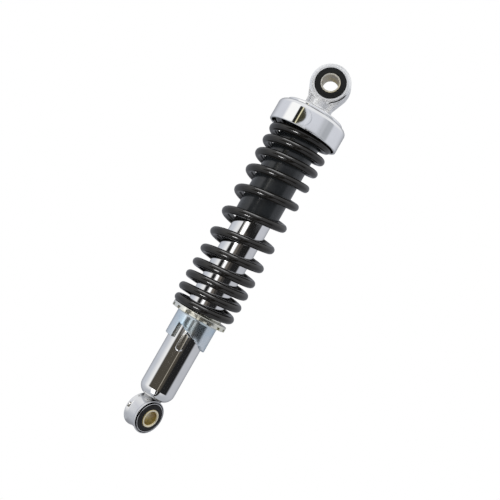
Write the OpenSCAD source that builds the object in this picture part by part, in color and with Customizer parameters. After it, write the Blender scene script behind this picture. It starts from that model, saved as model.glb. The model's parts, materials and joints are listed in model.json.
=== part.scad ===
// Rear shock absorber for a motorcycle: a twin-tube oil damper inside one coil spring, with a
// rubber-bushed eye at each end and a cam collar that sets the spring preload.
// +Z runs up the damper's axis from the centre of the lower eye, whose bolt hole lies along Y.
// The shock is drawn at full extension, with the collar on its second seat.

/* [Overall] */
// Distance between the centres of the two bolt holes at full extension
eye_to_eye = 320; // [316:1:326]
// How far the damper can close before it reaches the bump stop
stroke = 65; // [50:1:65]
// Angle about Z from the lower eye to the upper eye
eye_twist = -53; // [-90:1:90]

/* [Lower eye] */
// Width of the steel barrel
lower_eye_width = 18; // [16:0.5:20]
// Diameter of the barrel at its flared rims
lower_eye_d = 29.8; // [29:0.1:31]
// Diameter of the rubber bush
lower_rubber_d = 25; // [24:0.1:25.5]
// Outside diameter of the inner sleeve
lower_sleeve_d = 16.3; // [15:0.1:18]
// Length of the inner sleeve
lower_sleeve_length = 21; // [20.8:0.1:26]
// Bolt hole through the sleeve, for an M12 bolt
lower_bolt_hole_d = 12.1; // [10:0.1:12.5]

/* [Upper eye] */
// Width of the cast barrel
upper_eye_width = 19; // [17:0.5:21]
// Diameter of the barrel
upper_eye_d = 35.4; // [34:0.1:36]
// Diameter of the rubber bush
upper_rubber_d = 27.2; // [25:0.1:28]
// Outside diameter of the inner sleeve
upper_sleeve_d = 17; // [16.5:0.1:19]
// Length of the inner sleeve
upper_sleeve_length = 21.6; // [21.4:0.1:26]
// Bolt hole through the sleeve, for an M14 bolt
upper_bolt_hole_d = 14.1; // [12:0.1:14.5]

/* [Damper] */
// Outside diameter of the damper tube
tube_d = 30.9; // [30.9:0.1:31.2]
// Wall of the damper tube
tube_wall = 1.7; // [1.5:0.1:1.8]
// Height of the tube's rolled top edge above the lower bolt hole
tube_top = 196; // [196:1:198]
// Diameter of the piston rod
rod_d = 10; // [10:0.5:11]
// Bore of the inner cylinder
cylinder_bore = 20; // [19.5:0.1:20.2]

/* [Preload collar] */
// Diameter of the flange that carries the spring
flange_d = 49.9; // [48:0.1:52]
// Diameter of the collar's sleeve
collar_d = 37; // [36:0.1:38]
// Height of the flange's top face
flange_top = 96.5; // [95:0.1:98]
// Number of preload seats in the cam edge
seat_count = 5; // [3:1:5]
// Turn from one seat to the next
seat_angle = 25; // [24:1:26]
// Rise of the collar from one seat to the next
seat_rise = 2.9; // [2.5:0.1:3]
// Number of spanner notches round the flange
spanner_notches = 15; // [8:1:16]

/* [Main spring] */
// Outside diameter of the coil
spring_d = 56.6; // [55:0.1:57]
// Diameter of the wire
wire_d = 7; // [6:0.1:7]
// Number of turns, counting the ends
spring_turns = 13; // [12.5:0.25:13]
// Extra pitch in the open middle turns, in mm a turn
open_pitch = 9.84; // [8:0.01:10]

/* [Top cap and dust cover] */
// Diameter of the spring cap
cap_d = 63.8; // [63:0.1:66]
// Height of the spring cap
cap_height = 22.8; // [20:0.1:26]
// Wall of the spring cap
cap_wall = 1.8; // [1.5:0.1:2]
// Diameter of the dust cover
cover_d = 37.2; // [36.6:0.1:38]
// Height of the dust cover's open end
cover_bottom = 190; // [186:1:192]

/* [Hidden] */
$fn = 96;
more = 1;               // overlap of a cutting shape past the surface that it cuts
touch = 0.05;           // gap between pieces that slide on each other

// Damper tube
tube_r = tube_d / 2;
tube_bore_r = tube_r - tube_wall;
tube_bottom = lower_eye_d / 2 + touch;      // flat at the bottom of the dome
dome_r = 9.5;           // radius between the dome's flat and the straight tube
lip_r = 11.5;           // opening left by the rolled top edge
lip_wall = 1.8;
lug_length = 17;        // pressed stop lug, where it meets the tube
lug_half_width = 3.25;
lug_proud = 2.5;
lug_top = 78;
lug_turn = -141;        // position of the first lug about Z; the second is opposite
// A capsule sunk in the tube wall leaves a lug of the stated width and height
lug_r = (pow(lug_half_width, 2) + pow(lug_proud, 2)) / (2 * lug_proud);
lug_centre_r = tube_r + lug_proud - lug_r;

// Preload collar
collar_r = collar_d / 2;
collar_bore_r = tube_r + 0.09;
skirt_bottom = 69;
flange_height = 4.5;
spigot_height = 4;
seat_now = 1;           // the seat in use, counted from the softest
ramp_gap = 0.3;         // clearance from a lug's top to the ramp that joins the seats
notch_depth = 0.5;
notch_r = 4.2;
spanner_notch_width = 4.2;
spanner_notch_depth = 1.4;
spanner_notch_height = 2.6;

// Spring
coil_r = (spring_d - wire_d) / 2;
coil_first_turn = 133.6;    // position about Z of the point from which turns are counted
coil_low_turns = 0.25;      // length of wire below that point
pitch_steps = 24;           // sections of the wire in one turn
wire_sides = 8;
open_centre_turn = 6.45;    // turn at which the pitch is widest
open_half_turns = 3.98;     // turns from there to where the pitch is plain again
end_inset = 1.5;            // the last turn at the collar is drawn in by this much
end_inset_turns = 0.9;

// Top end, from the roof of the cap down
roof_top = eye_to_eye - 26.5;
roof_under = roof_top - cap_wall;
cap_r = cap_d / 2;
cap_bore_r = cap_r - cap_wall;
cap_shoulder_r = 4.5;
cap_shoulder_centre_r = cap_r - cap_shoulder_r;
shelf_top = roof_top - 2.6;     // narrow shelf between the shoulder and the raised roof
shelf_under = shelf_top - cap_wall;
roof_r = cap_r - 5.4;           // edge of the raised roof
roof_edge_r = 1.4;
spigot_r = 8.95;
hole_r = 9;
cover_r = cover_d / 2;
cover_wall = 1.2;
cover_roof_under = roof_under - cover_wall;
washer_under = cover_roof_under - 2;
lock_nut_under = washer_under - 8;
bump_plate_under = lock_nut_under - 1.5;
bump_stop_under = tube_top + stroke + 1;
spring_seat_top = roof_under - 5;
rod_r = rod_d / 2;

// Guide and seal, from the rolled edge down
seal_cap_top = tube_top - lip_wall;
seal_top = seal_cap_top - 2.2;
guide_top = seal_top - 6;
cylinder_top = guide_top - 9;
guide_under = cylinder_top - 5;
guide_bush_r = rod_r + 1;

// Piston, from the rebound stop down
rebound_stop_top = guide_under - touch;
rebound_stop_under = rebound_stop_top - 7.4;
clip_under = rebound_stop_under - 1;
rod_shoulder = guide_under - 10;
check_flange_under = rod_shoulder - 2.4;
piston_top = rod_shoulder - 5;
piston_under = piston_top - 11;
shims_under = piston_under - 0.9;
piston_nut_under = shims_under - 7;
rod_end = piston_nut_under - 2;
stud_r = 4;
cylinder_r = cylinder_bore / 2;
cylinder_wall = 1.4;
plate_height = 0.7;

// Base valve, from the bottom up
valve_foot = 20.6;
cylinder_under = 27;
valve_web_under = 29.4;
valve_top = 36;
rivet_r = 2.5;
rivet_head_under = 39;

// A quarter or other arc of a profile, as points
function arc(x, z, r, from, to, steps = 8) =
    [for (i = [0:steps]) let (a = from + (to - from) * i / steps) [x + r * cos(a), z + r * sin(a)]];

// A round piece turned about Z from a profile of [radius, height] points
module turned(profile) {
    rotate_extrude() polygon(profile);
}

// A ring with plain faces
module ring(inner_r, outer_r, bottom, top) {
    translate([0, 0, bottom]) difference() {
        cylinder(r = outer_r, h = top - bottom);
        translate([0, 0, -more]) cylinder(r = inner_r, h = top - bottom + 2 * more);
    }
}

// Turns a piece made about Z so that it lies along an eye's bolt hole
module along_bolt(height, turn) {
    translate([0, 0, height]) rotate([0, 0, turn]) rotate([90, 0, 0]) children();
}

// Copies round a circle
module around(count, start = 0) {
    for (i = [0:count - 1]) rotate([0, 0, start + i * 360 / count]) children();
}

// A rubber bush bonded between an eye and its sleeve, with hollowed end faces
module rubber_bush(inner_r, outer_r, half_length) {
    middle_r = (inner_r + outer_r) / 2;
    dish = 0.8;
    turned([
        [inner_r, -half_length], [middle_r, dish - half_length], [outer_r, -half_length],
        [outer_r, half_length], [middle_r, half_length - dish], [inner_r, half_length]
    ]);
}

// A plain steel sleeve with chamfered ends
module sleeve(bore_r, outer_r, half_length) {
    edge = 0.5;
    turned([
        [bore_r, -half_length], [outer_r - edge, -half_length], [outer_r, edge - half_length],
        [outer_r, half_length - edge], [outer_r - edge, half_length], [bore_r, half_length]
    ]);
}

module stop_lug() {
    low = lug_top - lug_length + lug_half_width;
    high = lug_top - lug_half_width;
    translate([lug_centre_r, 0, low]) union() {
        sphere(r = lug_r);
        cylinder(r = lug_r, h = high - low);
        translate([0, 0, high - low]) sphere(r = lug_r);
    }
}

module damper_tube() {
    dome_centre_r = tube_r - dome_r;
    dome_centre_z = tube_bottom + dome_r;
    profile = concat(
        [[0, tube_bottom]],
        arc(dome_centre_r, dome_centre_z, dome_r, -90, 0),
        arc(tube_r - lip_wall, tube_top - lip_wall, lip_wall, 0, 90, 4),
        [[lip_r, tube_top], [lip_r, seal_cap_top], [tube_bore_r, seal_cap_top]],
        arc(dome_centre_r, dome_centre_z, dome_r - tube_wall, 0, -90),
        [[0, tube_bottom + tube_wall]]
    );
    color("silver") union() {
        turned(profile);
        difference() {
            around(2, lug_turn) stop_lug();
            cylinder(r = tube_r - 0.3, h = tube_top);
        }
    }
}

module lower_eye() {
    half = lower_eye_width / 2;
    rim_r = lower_eye_d / 2;
    waist_r = rim_r - 1.1;
    edge = 0.6;
    flare_end = half - 1.8;
    waist_end = half - 4;
    color("lightgray") difference() {
        union() {
            along_bolt(0, 0) turned([
                [0, -half], [rim_r - edge, -half], [rim_r, edge - half], [rim_r, -flare_end],
                [waist_r, -waist_end], [waist_r, waist_end], [rim_r, flare_end],
                [rim_r, half - edge], [rim_r - edge, half], [0, half]
            ]);
            turned(concat([[0, 0], [8, 0], [8, waist_r - 2.2]],
                [for (p = arc(8, tube_bottom, 2.2, 265, 180, 5)) if (p[1] > waist_r - 2.2) p],
                [[5.8, tube_bottom], [0, tube_bottom]]));
        }
        along_bolt(0, 0) translate([0, 0, -half - more])
            cylinder(d = lower_rubber_d, h = lower_eye_width + 2 * more);
    }
}

module lower_rubber_bush() {
    color("dimgray") along_bolt(0, 0)
        rubber_bush(lower_sleeve_d / 2, lower_rubber_d / 2, lower_eye_width / 2 + 1.3);
}

module lower_sleeve() {
    color("khaki") along_bolt(0, 0)
        sleeve(lower_bolt_hole_d / 2, lower_sleeve_d / 2, lower_sleeve_length / 2);
}

module inner_cylinder() {
    color("slategray") ring(cylinder_r, cylinder_r + cylinder_wall, cylinder_under, cylinder_top);
}

module base_valve_body() {
    foot_r = 12.2;
    foot_bore_r = 8.5;
    port_r = 1;
    slot_width = 4;
    color("lightsteelblue") difference() {
        union() {
            ring(rivet_r, cylinder_r, valve_web_under, valve_top);
            ring(foot_bore_r, cylinder_r, cylinder_under, valve_web_under);
            ring(foot_bore_r, foot_r, valve_foot, cylinder_under);
        }
        around(6) translate([6.5, 0, valve_web_under - more])
            cylinder(r = port_r, h = valve_top - valve_web_under + 2 * more);
        around(4) translate([0, -slot_width / 2, valve_foot - more])
            cube([foot_r + more, slot_width, 3]);
    }
}

module base_valve_rivet() {
    head = 1.5;
    color("gray") turned([
        [0, valve_web_under - 2.5], [5, valve_web_under - 2.5], [5, valve_web_under - 0.5],
        [rivet_r, valve_web_under - 0.5], [rivet_r, rivet_head_under],
        [5.5, rivet_head_under], [5.5, rivet_head_under + head], [0, rivet_head_under + head]
    ]);
}

module base_valve_shims() {
    color("silver") ring(rivet_r, 8, valve_web_under - 0.5, valve_web_under);
}

module base_check_plate() {
    color("silver") ring(rivet_r + touch, 8.8, valve_top, valve_top + plate_height);
}

// A dished spring washer that stands on a valve plate and bears on a stop above it
module dished_spring(inner_r, outer_r, bottom, top) {
    leaf = 0.26;
    turned([
        [outer_r, bottom + 0.01], [outer_r, bottom + leaf],
        [inner_r, top - 0.01], [inner_r, top - leaf]
    ]);
}

module base_check_spring() {
    color("steelblue") dished_spring(2.9, 7.5, valve_top + plate_height, rivet_head_under);
}

module rod_guide() {
    spigot_edge = 0.5;
    groove_mid = guide_top - 3;
    groove_half = 0.9;
    groove_r = tube_bore_r - 1.75;
    color("lightsteelblue") turned([
        [guide_bush_r, guide_under], [cylinder_r - spigot_edge, guide_under],
        [cylinder_r, guide_under + spigot_edge], [cylinder_r, cylinder_top],
        [tube_bore_r, cylinder_top], [tube_bore_r, groove_mid - groove_half],
        [groove_r, groove_mid - groove_half], [groove_r, groove_mid + groove_half],
        [tube_bore_r, groove_mid + groove_half], [tube_bore_r, guide_top],
        [guide_bush_r, guide_top]
    ]);
}

module rod_guide_bush() {
    color("darkkhaki") ring(rod_r + touch, guide_bush_r, guide_under + 1, guide_top - 1);
}

module rod_guide_o_ring() {
    cord_r = 0.86;
    color("dimgray") translate([0, 0, guide_top - 3]) rotate_extrude()
        translate([tube_bore_r - cord_r - 0.01, 0]) circle(r = cord_r);
}

module oil_seal() {
    lip_outer_r = rod_r + 1;
    pocket_r = rod_r + 4;
    color("dimgray") turned([
        [rod_r + 0.02, guide_top], [tube_bore_r, guide_top], [tube_bore_r, seal_top],
        [pocket_r, seal_top], [pocket_r, guide_top + 3], [lip_outer_r, guide_top + 3],
        [lip_outer_r, seal_top - 0.4], [rod_r + 0.02, seal_top - 0.8]
    ]);
}

module seal_garter_spring() {
    wire_r = 0.55;
    color("silver") translate([0, 0, seal_top - 1.5]) rotate_extrude()
        translate([rod_r + 1.01 + wire_r, 0]) circle(r = wire_r);
}

module seal_cap() {
    color("silver") ring(rod_r + 0.4, tube_bore_r, seal_top, seal_cap_top);
}

// Height of the ramp above a lug when that lug stands opposite a given seat
function ramp_height(seat) = lug_top + ramp_gap - (seat - seat_now) * seat_rise;

// One seat of the cam, as a cutter that points out along X
module seat_cutter(seat) {
    slope = seat_rise / (seat_angle * PI / 180 * (collar_r + collar_bore_r) / 2);
    left = 3.6;
    right = 4.6;
    low = skirt_bottom - more;
    top = ramp_height(seat);
    rotate([90, 0, 90]) linear_extrude(height = collar_r + more) union() {
        polygon([[-left, low], [right, low], [right, top - slope * right],
            [-left, top + slope * left]]);
        intersection() {
            translate([0, top + notch_depth - notch_r]) circle(r = notch_r);
            translate([-left, low]) square([left + right, flange_top]);
        }
    }
}

module preload_collar() {
    flange_under = flange_top - flange_height;
    edge = 0.5;
    color("lightsteelblue") difference() {
        turned([
            [collar_bore_r, skirt_bottom], [collar_r, skirt_bottom], [collar_r, flange_under],
            [flange_d / 2 - edge, flange_under], [flange_d / 2, flange_under + edge],
            [flange_d / 2, flange_top - edge], [flange_d / 2 - edge, flange_top],
            [collar_r + 0.5, flange_top], [collar_r + 0.5, flange_top + spigot_height],
            [collar_bore_r, flange_top + spigot_height]
        ]);
        around(2, lug_turn) for (seat = [0:seat_count - 1])
            rotate([0, 0, (seat - seat_now) * seat_angle]) seat_cutter(seat);
        around(spanner_notches, lug_turn + 6) translate([
            flange_d / 2 - spanner_notch_depth, -spanner_notch_width / 2, flange_under - more
        ]) cube([spanner_notch_depth + more, spanner_notch_width, spanner_notch_height + more]);
    }
}

// Height gained by the open turns' extra pitch: it swells and fades as a squared cosine
function open_rise(turn) =
    let (x = min(1, max(-1, (turn - open_centre_turn) / open_half_turns)))
    open_pitch * open_half_turns * ((x + 1) / 2 + sin(180 * x) / (2 * PI));
coil_low_z = flange_top + wire_d / 2;
coil_high_z = spring_seat_top - wire_d / 2;
flat_turns = 0.15;          // turns at each end in which the wire lies flat on its seat
coil_end_turn = spring_turns - coil_low_turns;
plain_pitch = (coil_high_z - coil_low_z - open_rise(coil_end_turn)) / (coil_end_turn - 2 * flat_turns);
// Height of the wire's centre, and its distance from the axis, at a turn
function coil_z(turn) = min(coil_high_z,
    max(coil_low_z, coil_low_z + (turn - flat_turns) * plain_pitch + open_rise(turn)));
function coil_radius(turn) = coil_r - end_inset * min(1, max(0, 1 - turn / end_inset_turns));

module main_spring() {
    sections = floor(spring_turns * pitch_steps);
    points = [
        for (i = [0:sections]) let (
            turn = i / pitch_steps - coil_low_turns,
            a = coil_first_turn + 360 * turn
        ) for (j = [0:wire_sides - 1]) let (
            s = 360 * j / wire_sides,
            r = coil_radius(turn) + wire_d / 2 * cos(s)
        ) [r * cos(a), r * sin(a), coil_z(turn) + wire_d / 2 * sin(s)]
    ];
    sides = [
        for (i = [0:sections - 1]) for (j = [0:wire_sides - 1]) let (
            k = (j + 1) % wire_sides, a = i * wire_sides, b = a + wire_sides
        ) [a + j, b + j, b + k, a + k]
    ];
    start_face = [for (j = [0:wire_sides - 1]) j];
    end_face = [for (j = [0:wire_sides - 1]) (sections + 1) * wire_sides - 1 - j];
    color("dimgray") polyhedron(points, concat(sides, [start_face], [end_face]), 4);
}

module spring_insulator() {
    squeeze_gap = 0.3;
    color("dimgray") turned(concat(
        [[cover_r + 0.5, spring_seat_top], [cap_bore_r - 0.6, spring_seat_top]],
        arc(cap_shoulder_centre_r, shelf_top - cap_shoulder_r,
            cap_shoulder_r - cap_wall - squeeze_gap, 10, 80, 5),
        [[cap_shoulder_centre_r, shelf_under], [roof_r - cap_wall - squeeze_gap, shelf_under],
            [roof_r - cap_wall - squeeze_gap, roof_under], [cover_r + 0.5, roof_under]]
    ));
}

module spring_cap() {
    rim_z = roof_top - cap_height;
    shoulder_z = shelf_top - cap_shoulder_r;
    color("silver") turned(concat(
        [[cap_bore_r, rim_z], [cap_r, rim_z]],
        arc(cap_shoulder_centre_r, shoulder_z, cap_shoulder_r, 0, 90),
        [[roof_r, shelf_top]],
        arc(roof_r - roof_edge_r, roof_top - roof_edge_r, roof_edge_r, 0, 90, 4),
        [[hole_r, roof_top], [hole_r, roof_under], [roof_r - cap_wall, roof_under],
            [roof_r - cap_wall, shelf_under]],
        arc(cap_shoulder_centre_r, shoulder_z, cap_shoulder_r - cap_wall, 90, 0)
    ));
}

module dust_cover() {
    shoulder_r = 2;
    centre_r = cover_r - shoulder_r;
    color("dimgray") turned(concat(
        [[cover_r - cover_wall, cover_bottom], [cover_r, cover_bottom]],
        arc(centre_r, roof_under - shoulder_r, shoulder_r, 0, 90, 5),
        [[hole_r, roof_under], [hole_r, cover_roof_under]],
        arc(centre_r, roof_under - shoulder_r, shoulder_r - cover_wall, 90, 0, 5)
    ));
}

module clamp_washer() {
    color("silver") ring(rod_r, 13, washer_under, cover_roof_under);
}

module rod_lock_nut() {
    across_flats = 17;
    color("silver") difference() {
        translate([0, 0, lock_nut_under])
            cylinder(d = across_flats / cos(30), h = washer_under - lock_nut_under, $fn = 6);
        translate([0, 0, lock_nut_under - more])
            cylinder(r = rod_r, h = washer_under - lock_nut_under + 2 * more);
    }
}

module bump_stop_plate() {
    color("silver") ring(rod_r, 12.5, bump_plate_under, lock_nut_under);
}

module bump_stop() {
    stop_r = 11.5;
    waist_r = 9.6;
    waist_z = (bump_stop_under + bump_plate_under) / 2;
    color("dimgray") turned([
        [rod_r, bump_stop_under], [stop_r - 3, bump_stop_under],
        [stop_r - 1, bump_stop_under + 2], [stop_r, waist_z - 3], [waist_r, waist_z],
        [stop_r, waist_z + 3], [stop_r, bump_plate_under], [rod_r, bump_plate_under]
    ]);
}

module piston_rod() {
    groove_r = rod_r - 0.4;
    clip_top = rebound_stop_under;
    thread_top = roof_top + 8;
    color("silver") turned([
        [0, rod_end], [stud_r - 0.5, rod_end], [stud_r, rod_end + 0.5], [stud_r, rod_shoulder],
        [rod_r, rod_shoulder], [rod_r, clip_under], [groove_r, clip_under],
        [groove_r, clip_top], [rod_r, clip_top], [rod_r, thread_top - 0.8],
        [rod_r - 0.8, thread_top], [0, thread_top]
    ]);
}

module rebound_stop() {
    color("ivory") ring(rod_r, 8.4, rebound_stop_under, rebound_stop_top);
}

module rebound_stop_clip() {
    color("gray") ring(rod_r - 0.4, rod_r + 1.2, clip_under, rebound_stop_under);
}

module check_stop() {
    color("silver") turned([
        [stud_r, piston_top], [rod_r, piston_top], [rod_r, check_flange_under],
        [8.4, check_flange_under], [8.4, rod_shoulder], [stud_r, rod_shoulder]
    ]);
}

module piston_check_plate() {
    color("silver") ring(rod_r + touch, 8.8, piston_top, piston_top + plate_height);
}

module piston_check_spring() {
    color("steelblue")
        dished_spring(rod_r + 0.3, 8.2, piston_top + plate_height, check_flange_under);
}

ring_under = 3;             // height of the piston ring's groove above the piston's lower face
ring_height = 5;
ring_groove = 1;
module piston() {
    body_r = cylinder_r - 0.2;
    groove_r = cylinder_r - ring_groove;
    color("lightsteelblue") difference() {
        turned([
            [stud_r, piston_under], [body_r, piston_under],
            [body_r, piston_under + ring_under], [groove_r, piston_under + ring_under],
            [groove_r, piston_under + ring_under + ring_height],
            [body_r, piston_under + ring_under + ring_height],
            [body_r, piston_top], [stud_r, piston_top]
        ]);
        around(6) translate([6.8, 0, piston_under - more])
            cylinder(r = 1, h = piston_top - piston_under + 2 * more);
    }
}

module piston_ring() {
    color("darkkhaki") ring(cylinder_r - ring_groove, cylinder_r - touch,
        piston_under + ring_under, piston_under + ring_under + ring_height);
}

module rebound_shims() {
    color("silver") union() {
        ring(stud_r, 8.6, piston_under - 0.3, piston_under);
        ring(stud_r, 7.4, piston_under - 0.6, piston_under - 0.3);
        ring(stud_r, 6.2, shims_under, piston_under - 0.6);
    }
}

module piston_nut() {
    across_flats = 12;
    color("gray") difference() {
        translate([0, 0, piston_nut_under])
            cylinder(d = across_flats / cos(30), h = shims_under - piston_nut_under, $fn = 6);
        translate([0, 0, piston_nut_under - more])
            cylinder(r = stud_r, h = shims_under - piston_nut_under + 2 * more);
    }
}

module upper_eye() {
    half = upper_eye_width / 2;
    eye_r = upper_eye_d / 2;
    edge = 1.3;
    web_half = 6;
    neck_half = 11.7;
    neck_top = roof_top + 8.5;
    column_r = 9;
    color("lightgray") difference() {
        union() {
            along_bolt(eye_to_eye, eye_twist) turned(concat(
                [[0, -half]], arc(eye_r - edge, edge - half, edge, -90, 0, 4),
                arc(eye_r - edge, half - edge, edge, 0, 90, 4), [[0, half]]
            ));
            along_bolt(eye_to_eye, eye_twist) translate([0, 0, -web_half])
                linear_extrude(height = 2 * web_half) polygon([
                    [-neck_half, roof_top - eye_to_eye + 1], [neck_half, roof_top - eye_to_eye + 1],
                    [neck_half, neck_top - eye_to_eye],
                    [eye_r * cos(25), -eye_r * sin(25)], [-eye_r * cos(25), -eye_r * sin(25)],
                    [-neck_half, neck_top - eye_to_eye]
                ]);
            translate([0, 0, roof_top]) cylinder(r = column_r, h = 12);
            translate([0, 0, roof_top]) cylinder(r = 12.8, h = 2);
            translate([0, 0, cover_roof_under + 0.3])
                cylinder(r = spigot_r, h = roof_top - cover_roof_under);
        }
        along_bolt(eye_to_eye, eye_twist) translate([0, 0, -half - more])
            cylinder(d = upper_rubber_d, h = upper_eye_width + 2 * more);
        translate([0, 0, cover_roof_under]) cylinder(r = rod_r, h = roof_top + 8.5 - cover_roof_under);
    }
}

module upper_rubber_bush() {
    color("dimgray") along_bolt(eye_to_eye, eye_twist)
        rubber_bush(upper_sleeve_d / 2, upper_rubber_d / 2, upper_eye_width / 2 + 0.9);
}

module upper_sleeve() {
    color("khaki") along_bolt(eye_to_eye, eye_twist)
        sleeve(upper_bolt_hole_d / 2, upper_sleeve_d / 2, upper_sleeve_length / 2);
}

damper_tube();
lower_eye();
lower_rubber_bush();
lower_sleeve();
inner_cylinder();
base_valve_body();
base_valve_rivet();
base_valve_shims();
base_check_plate();
base_check_spring();
rod_guide();
rod_guide_bush();
rod_guide_o_ring();
oil_seal();
seal_garter_spring();
seal_cap();
preload_collar();
main_spring();
spring_insulator();
spring_cap();
dust_cover();
clamp_washer();
rod_lock_nut();
bump_stop_plate();
bump_stop();
piston_rod();
rebound_stop();
rebound_stop_clip();
check_stop();
piston_check_plate();
piston_check_spring();
piston();
piston_ring();
rebound_shims();
piston_nut();
upper_eye();
upper_rubber_bush();
upper_sleeve();
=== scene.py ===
"""Looks for the motorcycle rear shock absorber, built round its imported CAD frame.

Every length is in metres in the CAD frame: +Z up the damper's axis from the centre of the
lower eye.
"""

import json
import math

import bmesh
import bpy
import numpy as np
from mathutils import Matrix, Vector

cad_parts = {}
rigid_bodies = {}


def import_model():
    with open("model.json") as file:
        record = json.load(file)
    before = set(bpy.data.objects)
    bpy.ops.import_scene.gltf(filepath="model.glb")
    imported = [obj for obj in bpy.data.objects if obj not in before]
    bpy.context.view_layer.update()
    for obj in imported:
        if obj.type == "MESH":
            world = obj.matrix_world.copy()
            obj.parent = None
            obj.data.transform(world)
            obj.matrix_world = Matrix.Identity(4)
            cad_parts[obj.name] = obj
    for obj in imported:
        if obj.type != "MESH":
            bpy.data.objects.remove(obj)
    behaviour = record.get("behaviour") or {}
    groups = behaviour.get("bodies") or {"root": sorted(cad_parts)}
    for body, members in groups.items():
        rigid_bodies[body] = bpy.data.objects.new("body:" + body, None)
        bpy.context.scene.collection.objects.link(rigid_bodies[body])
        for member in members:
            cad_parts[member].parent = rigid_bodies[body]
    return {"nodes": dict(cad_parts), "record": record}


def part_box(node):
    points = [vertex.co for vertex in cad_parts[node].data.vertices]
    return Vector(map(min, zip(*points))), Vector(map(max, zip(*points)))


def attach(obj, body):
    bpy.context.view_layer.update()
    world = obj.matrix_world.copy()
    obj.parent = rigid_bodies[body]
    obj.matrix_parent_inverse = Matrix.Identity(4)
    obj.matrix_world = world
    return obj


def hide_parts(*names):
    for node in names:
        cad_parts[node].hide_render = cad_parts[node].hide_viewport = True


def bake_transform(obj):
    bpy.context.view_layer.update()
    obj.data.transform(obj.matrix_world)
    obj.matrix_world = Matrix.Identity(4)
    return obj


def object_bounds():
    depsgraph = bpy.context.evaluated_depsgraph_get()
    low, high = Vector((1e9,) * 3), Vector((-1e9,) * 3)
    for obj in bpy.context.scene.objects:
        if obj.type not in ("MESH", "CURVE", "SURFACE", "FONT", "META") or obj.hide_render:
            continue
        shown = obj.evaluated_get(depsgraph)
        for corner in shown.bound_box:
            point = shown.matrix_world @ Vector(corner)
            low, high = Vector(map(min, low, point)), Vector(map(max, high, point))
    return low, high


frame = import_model()
cad_low, cad_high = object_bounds()

MM = 0.001
UP = Vector((0, 0, 1))
MOUNTS = {m["name"]: m for m in frame["record"]["mounts"]}
SLOTS = {s["node"]: s["material_slot"] for s in frame["record"]["subparts"]}
BODIES = {}
for body_name, body_nodes in frame["record"]["behaviour"]["bodies"].items():
    for node_name in body_nodes:
        BODIES[node_name] = body_name


# ---------------------------------------------------------------- sizes from the frame

def low_z(node):
    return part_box(node)[0].z


def high_z(node):
    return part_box(node)[1].z


def radius(node):
    """Outside radius of a node that is round about Z."""
    low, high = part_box(node)
    return (high.x - low.x) / 2


def eye_matrix(mount):
    """Moves a piece made round the origin, with its bolt hole along Y, to an eye."""
    axis = MOUNTS[mount]["axis"]
    turn = math.atan2(axis[0], -axis[1])
    return Matrix.Translation(MOUNTS[mount]["pos_m"]) @ Matrix.Rotation(turn, 4, "Z")


# Turns a piece made about Z so that it lies along Y, with its near end towards -Y
ALONG_BOLT = Matrix.Rotation(math.pi / 2, 4, "X")


# ---------------------------------------------------------------- meshes

def new_object(name, vertices, faces, sharp_degrees=40):
    """A smooth-shaded mesh object; edges that fold more than the angle stay sharp."""
    mesh = bpy.data.meshes.new(name)
    mesh.from_pydata([tuple(v) for v in vertices], [], faces)
    obj = bpy.data.objects.new(name, mesh)
    bpy.context.scene.collection.objects.link(obj)
    tidy(obj, sharp_degrees)
    return obj


def tidy(obj, sharp_degrees=40):
    """Merges doubled points, turns all faces outwards and shades the mesh smooth."""
    bm = bmesh.new()
    bm.from_mesh(obj.data)
    bmesh.ops.remove_doubles(bm, verts=bm.verts, dist=1e-7)
    bmesh.ops.recalc_face_normals(bm, faces=bm.faces)
    bm.to_mesh(obj.data)
    bm.free()
    obj.data.polygons.foreach_set("use_smooth", [True] * len(obj.data.polygons))
    obj.data.set_sharp_from_angle(angle=math.radians(sharp_degrees))
    obj.data.update()


FILLET_REACH = 0.998  # of the way to the next fillet, so that two never meet in one point
TINY = 1e-9


def rounded(corners, steps=6):
    """A closed outline from corners (x, y, fillet radius), with each corner rounded."""
    points = []
    count = len(corners)
    for i, (x, y, r) in enumerate(corners):
        here = np.array([x, y], float)
        last_corner, next_corner = corners[i - 1], corners[(i + 1) % count]
        before = np.array(last_corner[:2], float) - here
        after = np.array(next_corner[:2], float) - here
        reach = FILLET_REACH * min(
            np.linalg.norm(before) * r / (r + last_corner[2] + TINY),
            np.linalg.norm(after) * r / (r + next_corner[2] + TINY))
        before /= np.linalg.norm(before)
        after /= np.linalg.norm(after)
        half = math.acos(max(-1, min(1, before @ after))) / 2
        if r <= 0 or half > math.radians(89):
            points.append(tuple(here))
            continue
        tangent = min(r / math.tan(half), reach)
        r = tangent * math.tan(half)
        middle = before + after
        centre = here + middle / np.linalg.norm(middle) * r / math.sin(half)
        first, last = here + before * tangent - centre, here + after * tangent - centre
        turn = math.atan2(first[0] * last[1] - first[1] * last[0], first @ last)
        for k in range(steps + 1):
            c, s = math.cos(turn * k / steps), math.sin(turn * k / steps)
            points.append((centre[0] + c * first[0] - s * first[1],
                           centre[1] + s * first[0] + c * first[1]))
    return points


def lathe(name, outline, segments=160, sharp_degrees=40):
    """Turns a closed outline of (radius, height) points about Z."""
    vertices, rings = [], []
    for r, z in outline:
        if r < 1e-6:
            rings.append([len(vertices)] * segments)
            vertices.append((0, 0, z))
            continue
        rings.append(list(range(len(vertices), len(vertices) + segments)))
        vertices += [(r * math.cos(a), r * math.sin(a), z)
                     for a in (2 * math.pi * k / segments for k in range(segments))]
    faces = []
    for a, b in zip(rings, rings[1:] + rings[:1]):
        for k in range(segments):
            n = (k + 1) % segments
            face = list(dict.fromkeys((a[k], a[n], b[n], b[k])))
            if len(face) > 2:
                faces.append(face)
    return new_object(name, vertices, faces, sharp_degrees)


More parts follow.
